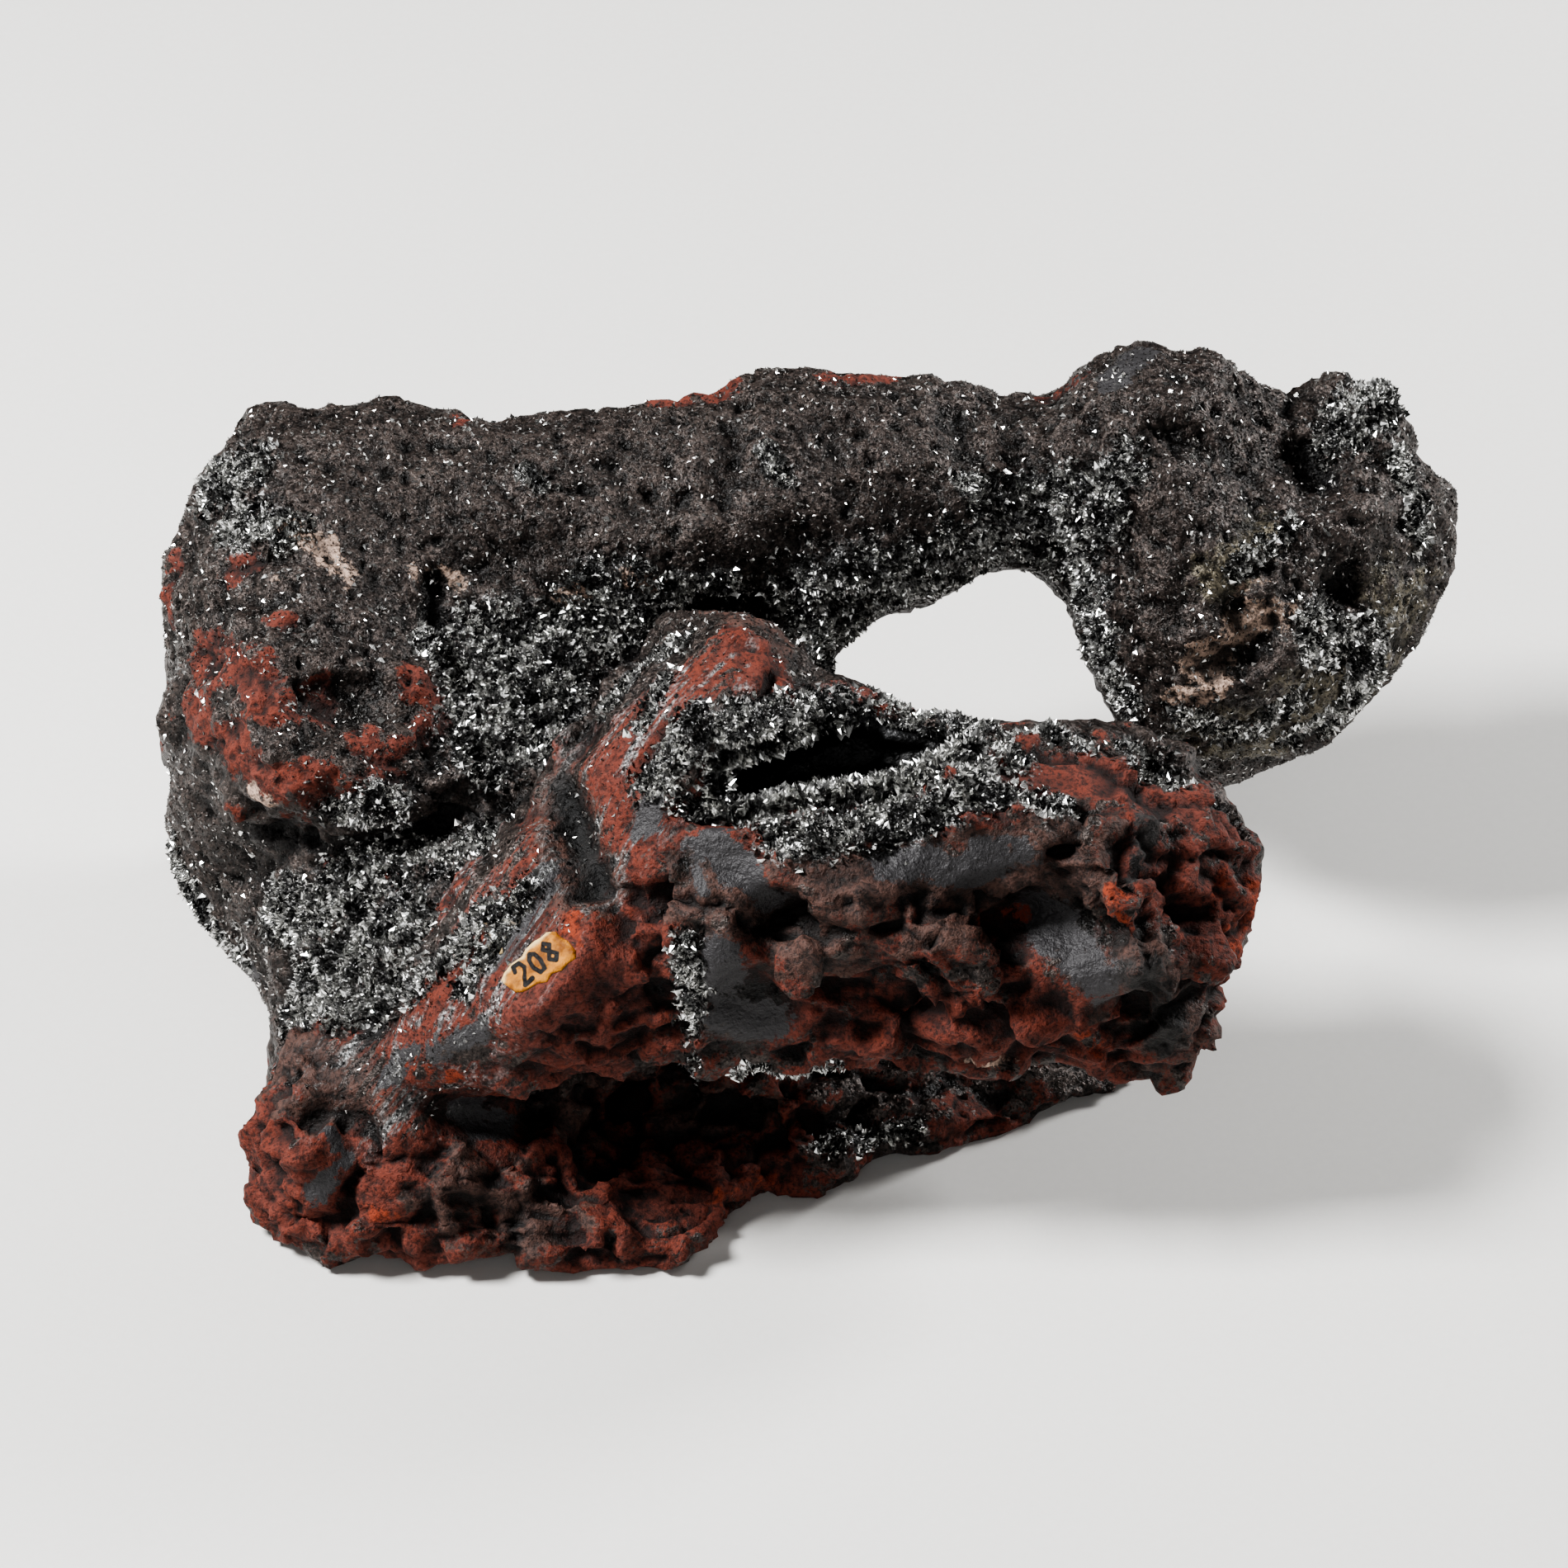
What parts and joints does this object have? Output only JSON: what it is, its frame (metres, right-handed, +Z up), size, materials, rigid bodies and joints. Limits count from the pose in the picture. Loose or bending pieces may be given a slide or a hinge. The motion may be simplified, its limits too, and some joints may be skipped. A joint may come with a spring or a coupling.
{
  "type": "specular hematite specimen",
  "caption": "C-shaped hand specimen of specular hematite: a sparkling dark upper bridge with a lobed end, over a torn red front arm with a crystal-lined vug and a paint dab",
  "frame": {"origin": "on the ground under the middle of the specimen's bounding box, which is where it rests", "axes": "+X along the specimen's length, from the solid left body towards the free ends of the arms; +Y away from the front arm, towards the bridge at the back; +Z up"},
  "size_m": [0.1634, 0.1069, 0.0716],
  "materials": {
    "iron_ore": "rough broken ore: sparkling dark grey crystal grain above, earthy brick red on the torn front",
    "specular_crystal": "bright metallic steel-grey crystal blades",
    "old_paint": "yellowed, slightly glossy dab of paint with a cream edge"
  },
  "bodies": {
    "root": {"hematite_rock": "iron_ore", "vug_crystal_crust": "specular_crystal", "number_patch": "old_paint"}
  },
  "joints": []
}
